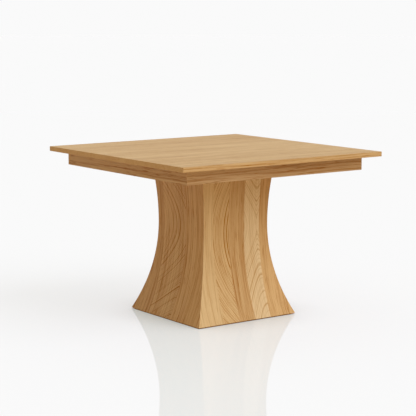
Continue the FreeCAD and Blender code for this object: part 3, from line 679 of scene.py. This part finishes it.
def solid_boxes(node_name):
    """The lowest and highest corners of each loose solid of a CAD node, in a steady order."""
    mesh = bmesh.new()
    mesh.from_mesh(nodes[node_name].data)
    bmesh.ops.remove_doubles(mesh, verts=mesh.verts, dist=SAME_POINT)
    waiting = set(mesh.verts)
    boxes = []
    while waiting:
        reached = {waiting.pop()}
        front = list(reached)
        while front:
            point = front.pop()
            for edge in point.link_edges:
                other = edge.other_vert(point)
                if other not in reached:
                    reached.add(other)
                    front.append(other)
        waiting -= reached
        corners = list(zip(*(point.co for point in reached)))
        boxes.append((Vector(map(min, corners)), Vector(map(max, corners))))
    mesh.free()
    return sorted(boxes, key=lambda box: [round(c, BOX_DIGITS) for c in (*box[0], *box[1])])


def stations(boxes, step=0.0):
    """Places on the axes of upright solids, each turned by a step from the last."""
    places = []
    for number, (low, high) in enumerate(boxes):
        middle = (low + high) / 2
        places.append((Vector((middle.x, middle.y, 0)), 0, number * step))
    return places


# Bolts and screws

HEX_SIDES = 6
HEX_FACE = 0.95
HEX_SLOPE = math.tan(math.radians(60))
BOLT_RADIUS = 0.004
BOLT_SIDES = 32
BOLT_END = 0.001
PAN_HEAD = 0.0026
PAN_ROUND = 0.0012
PAN_SHANK = 0.002
SUNK_SHANK = 0.0025
SCREW_TIP = 0.1
CROSS_WIDTH = 0.0011
CROSS_LENGTH = 0.0046
CROSS_DEPTH = 0.0017
CROSS_TAPER = 0.45
TURN_STEP = math.radians(37)


def new_hexagon(name, box, low, high, bevel_high=False):
    """A hexagon with the corners of its lower face turned off, and of its upper face where asked."""
    across = box[1].x - box[0].x
    corner = across / math.sqrt(3)
    face = across / 2 * HEX_FACE
    widest = face + (high - low) * HEX_SLOPE
    hexagon = new_rod(name, corner, low, high, HEX_SIDES)
    combine(hexagon, new_rod("turning", face, low, high, TURNED_SIDES, widest), "INTERSECT")
    if bevel_high:
        combine(hexagon, new_rod("turning", widest, low, high, TURNED_SIDES, face), "INTERSECT")
    return hexagon


def model_bolt(box):
    low, high = box
    head_top = node_box("mount_washers")[0].z
    bolt = new_hexagon("hex_bolt", box, low.z, head_top)
    shank = new_rod("shank", BOLT_RADIUS, (low.z + head_top) / 2, high.z, BOLT_SIDES)
    start_editing(shank)
    choose(shank, "edges", at_level(high.z))
    bpy.ops.mesh.bevel(offset=BOLT_END, segments=1)
    stop_editing()
    combine(bolt, shank, "UNION")
    return bolt


def cut_cross(screw, face):
    """Cut a tapered cross into a head that faces down."""
    for turn in (0, math.pi / 2):
        deselect()
        bpy.ops.mesh.primitive_cube_add(size=1.0, location=(0, 0, face), rotation=(0, 0, turn),
                                        scale=(CROSS_LENGTH, CROSS_WIDTH, 2 * CROSS_DEPTH))
        bar = bpy.context.object
        settle(bar)
        start_editing(bar)
        choose(bar, "faces", at_level(face + CROSS_DEPTH))
        bpy.ops.transform.resize(value=(CROSS_TAPER, CROSS_TAPER, 1.0), center_override=(0, 0, 0))
        stop_editing()
        combine(screw, bar, "DIFFERENCE")


def add_shank(screw, seat, point, head_radius, radius):
    """Draw a shank and its point out of the upper face of a head."""
    start_editing(screw)
    choose(screw, "faces", at_level(seat))
    if head_radius > radius:
        bpy.ops.mesh.inset(thickness=head_radius - radius)
    raise_face(point - 2 * radius - seat)
    raise_face(2 * radius, SCREW_TIP)
    stop_editing()


def model_pan_screw(box):
    low, high = box
    radius = (high.x - low.x) / 2
    seat = low.z + PAN_HEAD
    screw = new_rod("pan_screw", radius, low.z, seat)
    start_editing(screw)
    choose(screw, "edges", at_level(low.z))
    bpy.ops.mesh.bevel(offset=PAN_ROUND, segments=4)
    stop_editing()
    add_shank(screw, seat, high.z, radius, PAN_SHANK)
    cut_cross(screw, low.z)
    return screw


def model_sunk_screw(box):
    low, high = box
    radius = (high.x - low.x) / 2
    seat = low.z + radius - SUNK_SHANK
    screw = new_rod("sunk_screw", radius, low.z, seat, high_radius=SUNK_SHANK)
    add_shank(screw, seat, high.z, SUNK_SHANK, SUNK_SHANK)
    cut_cross(screw, low.z)
    return screw


def make_bolts():
    boxes = solid_boxes("mount_bolts")
    bolt = model_bolt(boxes[0])
    bolts = copy_to(bolt, stations(boxes, TURN_STEP), "hex_bolts")
    bpy.data.objects.remove(bolt)
    finish_piece(bolts, steel, "table", "mount_bolts")


def make_pan_screws(name, node_name):
    boxes = solid_boxes(node_name)
    screw = model_pan_screw(boxes[0])
    screws = copy_to(screw, stations(boxes, TURN_STEP), name)
    bpy.data.objects.remove(screw)
    finish_piece(screws, steel, "table", node_name)


def make_sunk_screws():
    """Screws up through the base plate, and the same ones turned over, down through the upper plate."""
    boxes = solid_boxes("post_screws")
    upright = [box for box in boxes if box[0].z < WAIST]
    upturned = [box for box in boxes if box[0].z > WAIST]
    places = stations(upright, TURN_STEP)
    for point, _, turn in stations(upturned, TURN_STEP):
        point.z = upright[0][0].z + upturned[0][1].z
        places.append((point, math.pi, turn))
    screw = model_sunk_screw(upright[0])
    screws = copy_to(screw, places, "countersunk_screws")
    bpy.data.objects.remove(screw)
    finish_piece(screws, steel, "table", "post_screws")


# Clips that hold the top to the apron

CLIP_METAL = 0.002
CLIP_REACH = 0.010
CLIP_BEND = 0.0024
CLIP_HOLE = 0.0021
HOLE_SIDES = 24


def model_clip(box):
    """A strip bent down and out, along X from the middle of its length."""
    low, high = box
    half_length = (high.x - low.x) / 2
    width = high.y - low.y
    upper = high.z - CLIP_METAL / 2
    lower = low.z + CLIP_METAL / 2
    riser = half_length - CLIP_REACH - CLIP_METAL / 2
    deselect()
    bpy.ops.mesh.primitive_plane_add(size=1.0, location=((riser - half_length) / 2, 0, upper))
    clip = bpy.context.object
    clip.name = "bent_clip"
    clip.scale = (riser + half_length, width, 1.0)
    settle(clip)
    start_editing(clip)
    choose(clip, "edges", lambda point: abs(point.x - riser) < SAME_POINT)
    bpy.ops.mesh.extrude_region_move(TRANSFORM_OT_translate={"value": (0, 0, lower - upper)})
    bpy.ops.mesh.extrude_region_move(TRANSFORM_OT_translate={"value": (half_length - riser, 0, 0)})
    for level in (upper, lower):
        choose(clip, "edges", lambda point: abs(point.x - riser) < SAME_POINT and at_level(level)(point))
        bpy.ops.mesh.bevel(offset=CLIP_BEND, segments=5)
    turn_faces_out()
    stop_editing()
    wall = clip.modifiers.new("wall", "SOLIDIFY")
    wall.thickness = CLIP_METAL
    wall.offset = 0.0
    wall.use_even_offset = True
    apply_modifier(clip, wall)
    hole = new_rod("hole", CLIP_HOLE, lower, high.z + CLIP_METAL, HOLE_SIDES)
    hole.location.x = (riser - CLIP_METAL / 2 - half_length) / 2
    settle(hole)
    combine(clip, hole, "DIFFERENCE")
    round_edges(clip, width=0.0002, segments=1, sharper_than=60)
    return clip


def make_clips():
    boxes = solid_boxes("top_clips")
    places = []
    for point, *_ in stations(boxes):
        on_side_rail = abs(point.x) > abs(point.y)
        outward = (point.x, 0) if on_side_rail else (0, point.y)
        places.append((point, 0, math.atan2(outward[1], outward[0])))
    on_right_rail = max(boxes, key=lambda box: box[1].x)
    clip = model_clip(on_right_rail)
    clips = copy_to(clip, places, "bent_clips")
    bpy.data.objects.remove(clip)
    finish_piece(clips, steel, "table", "top_clips")


# Levelling feet: a threaded stem with a hexagon and a button, and a pad that the button turns in

PITCH = 0.00125
THREAD_DEPTH = 0.0007
THREAD_CREST = 0.2
THREAD_SIDES = 24
SPARE_TURNS = 3
STEM_RADIUS = 0.004
STEM_END = 0.001
END_SPARE = 0.0002
STEM_HEX_HEIGHT = 0.005
STEM_GAP = 0.0003
NECK_RADIUS = 0.0045
BUTTON_RADIUS = 0.006
BUTTON_HEIGHT = 0.003
SOCKET_GAP = 0.00005
PAD_SHOULDER = 0.0028
PAD_BOSS = 0.0085
PAD_SOLE = 0.0006
PAD_SOLE_RIM = 0.0045


def thread_outline(low):
    """The open outline of one turn of thread, a little below a level."""
    start = low - SPARE_TURNS / 2 * PITCH
    mid_depth = STEM_RADIUS - THREAD_DEPTH / 2
    deselect()
    bpy.ops.mesh.primitive_plane_add(size=1.0, rotation=(math.pi / 2, 0, 0), location=(mid_depth, 0, start))
    outline = bpy.context.object
    outline.name = "thread"
    outline.scale = (THREAD_DEPTH, PITCH, 1.0)
    settle(outline)
    start_editing(outline)
    choose(outline, "edges", lambda point: point.x > mid_depth)
    bpy.ops.transform.resize(value=(1.0, 1.0, THREAD_CREST), center_override=(0, 0, start))
    choose_all()
    bpy.ops.mesh.delete(type="ONLY_FACE")
    choose(outline, "edges", lambda point: point.x < mid_depth)
    bpy.ops.mesh.delete(type="EDGE")
    stop_editing()
    return outline


def model_thread(low, high):
    """A threaded rod: the outline of one turn, screwed past both ends and cut square."""
    rod = thread_outline(low)
    screw = rod.modifiers.new("screw", "SCREW")
    screw.screw_offset = PITCH
    screw.iterations = math.ceil((high - low) / PITCH) + SPARE_TURNS
    screw.steps = THREAD_SIDES
    screw.render_steps = THREAD_SIDES
    apply_modifier(rod, screw)
    start_editing(rod)
    choose_all()
    bpy.ops.mesh.remove_doubles(threshold=SAME_POINT)
    for level, side in ((low, 1), (high, -1)):
        choose_all()
        bpy.ops.mesh.bisect(plane_co=(0, 0, level), plane_no=(0, 0, side), use_fill=True, clear_inner=True)
    turn_faces_out()
    stop_editing()
    envelope = new_rod("envelope", STEM_RADIUS + END_SPARE, low - PITCH, high)
    start_editing(envelope)
    choose(envelope, "edges", at_level(high))
    bpy.ops.mesh.bevel(offset=STEM_END + END_SPARE, segments=1)
    stop_editing()
    combine(rod, envelope, "INTERSECT")
    return rod


def model_stem(box, pad_top):
    low, high = box
    hex_low = pad_top + STEM_GAP
    hex_high = hex_low + STEM_HEX_HEIGHT
    stem = new_hexagon("levelling_stem", box, hex_low, hex_high, bevel_high=True)
    spindle = new_rod("spindle", BUTTON_RADIUS, low.z, low.z + BUTTON_HEIGHT)
    start_editing(spindle)
    choose(spindle, "faces", at_level(low.z + BUTTON_HEIGHT))
    bpy.ops.mesh.inset(thickness=BUTTON_RADIUS - NECK_RADIUS)
    raise_face((hex_low + hex_high) / 2 - low.z - BUTTON_HEIGHT)
    stop_editing()
    combine(stem, spindle, "UNION")
    combine(stem, model_thread((hex_low + 2 * hex_high) / 3, high.z), "UNION")
    return stem


def model_pad(box, button_low):
    """A round pad with a sloping shoulder, a socket for the button and a sole with a raised rim."""
    low, high = box
    radius = (high.x - low.x) / 2
    neck = NECK_RADIUS + SOCKET_GAP
    socket = BUTTON_RADIUS + SOCKET_GAP
    socket_top = button_low + BUTTON_HEIGHT + SOCKET_GAP
    pad = new_rod("foot_pad", radius, low.z, high.z - PAD_SHOULDER, TURNED_SIDES)
    start_editing(pad)
    choose(pad, "faces", at_level(high.z - PAD_SHOULDER))
    raise_face(PAD_SHOULDER, PAD_BOSS / radius)
    bpy.ops.mesh.inset(thickness=PAD_BOSS - neck)
    raise_face(socket_top - high.z)
    raise_face(0.0, socket / neck)
    raise_face(button_low - socket_top)
    choose(pad, "faces", at_level(low.z))
    bpy.ops.mesh.inset(thickness=PAD_SOLE_RIM)
    raise_face(PAD_SOLE)
    stop_editing()
    round_edges(pad, width=0.0006, segments=3, sharper_than=25)
    return pad


def make_feet():
    stem_box = node_box(f"leveller_stem_{CORNERS[0]}")
    pad_box = node_box(f"leveller_pad_{CORNERS[0]}")
    pad_model = model_pad(pad_box, stem_box[0].z)
    stem_model = model_stem(stem_box, pad_box[1].z)
    for corner in CORNERS:
        place = stations([node_box(f"leveller_pad_{corner}")])
        pad = copy_to(pad_model, place, f"foot_pad_{corner}")
        finish_piece(pad, nylon, f"foot_{corner}", f"leveller_pad_{corner}")
        stem = copy_to(stem_model, place, f"levelling_stem_{corner}")
        finish_piece(stem, steel, f"stem_{corner}", f"leveller_stem_{corner}")
    bpy.data.objects.remove(pad_model)
    bpy.data.objects.remove(stem_model)


make_bolts()
make_pan_screws("clip_pan_screws", "clip_screws")
make_pan_screws("bearer_pan_screws", "bearer_screws")
make_sunk_screws()
make_clips()
make_feet()


# The studio: a pale polished floor in a white surround, a soft key light, and a fill from all round that is
# warm and weak near the floor and stronger above

FLOOR_RADIUS = 60.0
FLOOR_SIDES = 96
# The floor's paint as it is seen, the warmer one that light bounces off, and how much of the paint glows
FLOOR_PAINT = (0.84, 0.79, 0.68, 1.0)
FLOOR_BOUNCE = (0.84, 0.68, 0.48, 1.0)
FLOOR_GLOW = 0.55
# The polish: its strength, and the share of red, green and blue that it mirrors. In the open, a glow
# makes up for the rest: a painted reflection of the even surround, left out near the base as painted shade.
FLOOR_POLISH = 0.83
POLISH_TINT = (1.0, 0.80, 0.85, 1.0)
POLISH_INDEX = 1.45
POLISH_ROUGHNESS = 0.03
# The painted shade in the gap under the base and round it: its brown colour, how far off a thing still
# paints shade on the floor, and how open the floor is where the painted shade is full and where it ends
CONTACT_SHADE = (0.33, 0.135, 0.025, 1.0)
CONTACT_REACH = 0.25
CONTACT_SAMPLES = 16
CONTACT_FULL = 0.3
CONTACT_END = 0.7
BACKGROUND = 0.955
HORIZON_FILL = 0.38
HORIZON_TINT = (1.0, 0.84, 0.60, 1.0)
TINT_HEIGHT = 0.8
OVERHEAD_FILL = 0.84
FILL_STEPS = 50
KEY_AZIMUTH = math.radians(28)
KEY_ELEVATION = math.radians(38)
KEY_SPREAD = math.radians(52)
KEY_STRENGTH = 1.68
KEY_TINT = (0.92, 1.02, 1.36)

# The camera of the photograph: what it looks at, from where and how closely
CAMERA_TARGET = Vector((-0.0175, 0.0126, 0.4882))
CAMERA_AZIMUTH = math.radians(-35.87)
CAMERA_ELEVATION = math.radians(8.17)
CAMERA_DISTANCE = 6.577
CAMERA_LENS = 122.26


def direction(azimuth, elevation):
    """A direction from the table, with the azimuth turning from the front to the right."""
    level = math.cos(elevation)
    return Vector((math.sin(azimuth) * level, -math.cos(azimuth) * level, math.sin(elevation)))


def shown_rays(tree):
    """One for what the camera, a reflection or glass sees, and nought for scattered light."""
    path = add_node(tree, "ShaderNodeLightPath").outputs
    shown = maths(tree, "MAXIMUM", path["Is Camera Ray"], path["Is Glossy Ray"])
    return maths(tree, "MAXIMUM", shown, path["Is Transmission Ray"])


def make_world():
    world = bpy.data.worlds.new("studio")
    bpy.context.scene.world = world
    world.use_nodes = True
    tree = world.node_tree
    tree.nodes.clear()
    height = part_of(tree, add_node(tree, "ShaderNodeTexCoord").outputs["Generated"], "Z")
    strength = add_node(tree, "ShaderNodeMapRange", {
        "Value": height, "To Min": HORIZON_FILL, "To Max": OVERHEAD_FILL}).outputs["Result"]
    tint = mix(tree, ease(tree, height, 0.0, TINT_HEIGHT), HORIZON_TINT, WHITE)
    fill = add_node(tree, "ShaderNodeBackground", {"Color": tint, "Strength": strength})
    surround = add_node(tree, "ShaderNodeBackground", {"Color": WHITE, "Strength": BACKGROUND})
    both = mix_shaders(tree, shown_rays(tree), fill.outputs["Background"], surround.outputs["Background"])
    add_node(tree, "ShaderNodeOutputWorld", {"Surface": both})


def open_light(channel):
    """The light of one channel on open floor: the key's, and the fill's added up over its heights."""
    light = KEY_TINT[channel] * KEY_STRENGTH * math.sin(KEY_ELEVATION) / math.pi
    for step in range(FILL_STEPS):
        height = (step + 0.5) / FILL_STEPS
        share = min(height / TINT_HEIGHT, 1.0)
        white = share * share * (3 - 2 * share)
        tint = HORIZON_TINT[channel] * (1 - white) + white
        light += (HORIZON_FILL + (OVERHEAD_FILL - HORIZON_FILL) * height) * tint * 2 * height / FILL_STEPS
    return light


def floor_glow():
    """The colour of the floor's glow, which with its paint makes open floor as bright as the surround."""
    painted = [FLOOR_PAINT[channel] * open_light(channel) * (1 - FLOOR_GLOW) for channel in range(3)]
    return [(BACKGROUND - light) / FLOOR_GLOW for light in painted]


def glowing_paint_and_shade(tree, shown, touching, glow_colour):
    """Glowing paint, with a painted brown shade where the floor nearly touches something."""
    shown_paint_and_shade = mix(tree, touching, FLOOR_PAINT, CONTACT_SHADE)
    paint = add_node(tree, "ShaderNodeBsdfDiffuse", {"Color": mix(tree, shown, FLOOR_BOUNCE, shown_paint_and_shade)})
    # The glow comes in already darkened near things by painted shade, and turns brown where the floor nearly
    # touches
    shaded_glow = mix(tree, touching, glow_colour, CONTACT_SHADE)
    glow = add_node(tree, "ShaderNodeEmission", {"Color": shaded_glow, "Strength": 1.0})
    share = maths(tree, "MULTIPLY", shown, FLOOR_GLOW)
    return mix_shaders(tree, share, paint.outputs["BSDF"], glow.outputs["Emission"])


def tinted_polish(tree, shown, touching):
    """A tinted mirror, and in the open a glow for the rest: a painted reflection of the even surround."""
    mirror = add_node(tree, "ShaderNodeBsdfGlossy", {"Color": POLISH_TINT, "Roughness": POLISH_ROUGHNESS})
    even_colour = (*(1 - tint for tint in POLISH_TINT[:3]), 1.0)
    # The glow is left out where the floor nearly touches something, which deepens the painted shade there
    in_the_open = maths(tree, "MULTIPLY", shown, maths(tree, "SUBTRACT", 1.0, touching))
    even_strength = maths(tree, "MULTIPLY", in_the_open, BACKGROUND)
    even = add_node(tree, "ShaderNodeEmission", {"Color": even_colour, "Strength": even_strength})
    polish = add_node(tree, "ShaderNodeAddShader", {0: mirror.outputs["BSDF"], 1: even.outputs["Emission"]})
    return polish.outputs["Shader"]


def make_floor_material():
    """Glowing paint under a polish, with painted shade round the base, clear when it is seen from below."""
    material, tree = empty_material("studio_floor")
    shown = shown_rays(tree)
    # Ambient occlusion darkens the glow near things, a painted shade round the base, and marks where the
    # floor nearly touches
    openness = add_node(tree, "ShaderNodeAmbientOcclusion", {
        "Color": (*floor_glow(), 1.0), "Distance": CONTACT_REACH}, samples=CONTACT_SAMPLES).outputs
    touching = ease(tree, openness["AO"], CONTACT_FULL, CONTACT_END, 1.0, 0.0)
    paint = glowing_paint_and_shade(tree, shown, touching, openness["Color"])
    polish = tinted_polish(tree, shown, touching)
    grazing = add_node(tree, "ShaderNodeFresnel", {"IOR": POLISH_INDEX})
    gloss = maths(tree, "MULTIPLY", grazing.outputs["Fac"], FLOOR_POLISH)
    polished = mix_shaders(tree, gloss, paint, polish)
    below = add_node(tree, "ShaderNodeNewGeometry").outputs["Backfacing"]
    clear = add_node(tree, "ShaderNodeBsdfTransparent").outputs["BSDF"]
    surface = mix_shaders(tree, below, polished, clear)
    add_node(tree, "ShaderNodeOutputMaterial", {"Surface": surface})
    return material


def make_floor():
    deselect()
    bpy.ops.mesh.primitive_circle_add(vertices=FLOOR_SIDES, radius=FLOOR_RADIUS, fill_type="NGON")
    floor = bpy.context.object
    floor.name = "studio_floor"
    floor.data.materials.append(make_floor_material())


def make_key_light():
    lamp = bpy.data.lights.new("key", "SUN")
    lamp.energy = KEY_STRENGTH
    lamp.color = KEY_TINT
    lamp.angle = KEY_SPREAD
    key = bpy.data.objects.new("key", lamp)
    bpy.context.scene.collection.objects.link(key)
    # The polished floor would mirror the lamp as a bright patch
    key.visible_glossy = False
    key.rotation_euler = direction(KEY_AZIMUTH, KEY_ELEVATION).to_track_quat("Z", "Y").to_euler()


def make_camera():
    lens = bpy.data.cameras.new("camera")
    lens.lens = CAMERA_LENS
    camera = bpy.data.objects.new("camera", lens)
    bpy.context.scene.collection.objects.link(camera)
    back = direction(CAMERA_AZIMUTH, CAMERA_ELEVATION)
    camera.location = CAMERA_TARGET + back * CAMERA_DISTANCE
    camera.rotation_euler = back.to_track_quat("Z", "Y").to_euler()
    bpy.context.scene.camera = camera


make_world()
make_floor()
make_key_light()
make_camera()
bpy.context.scene.view_settings.view_transform = "Standard"
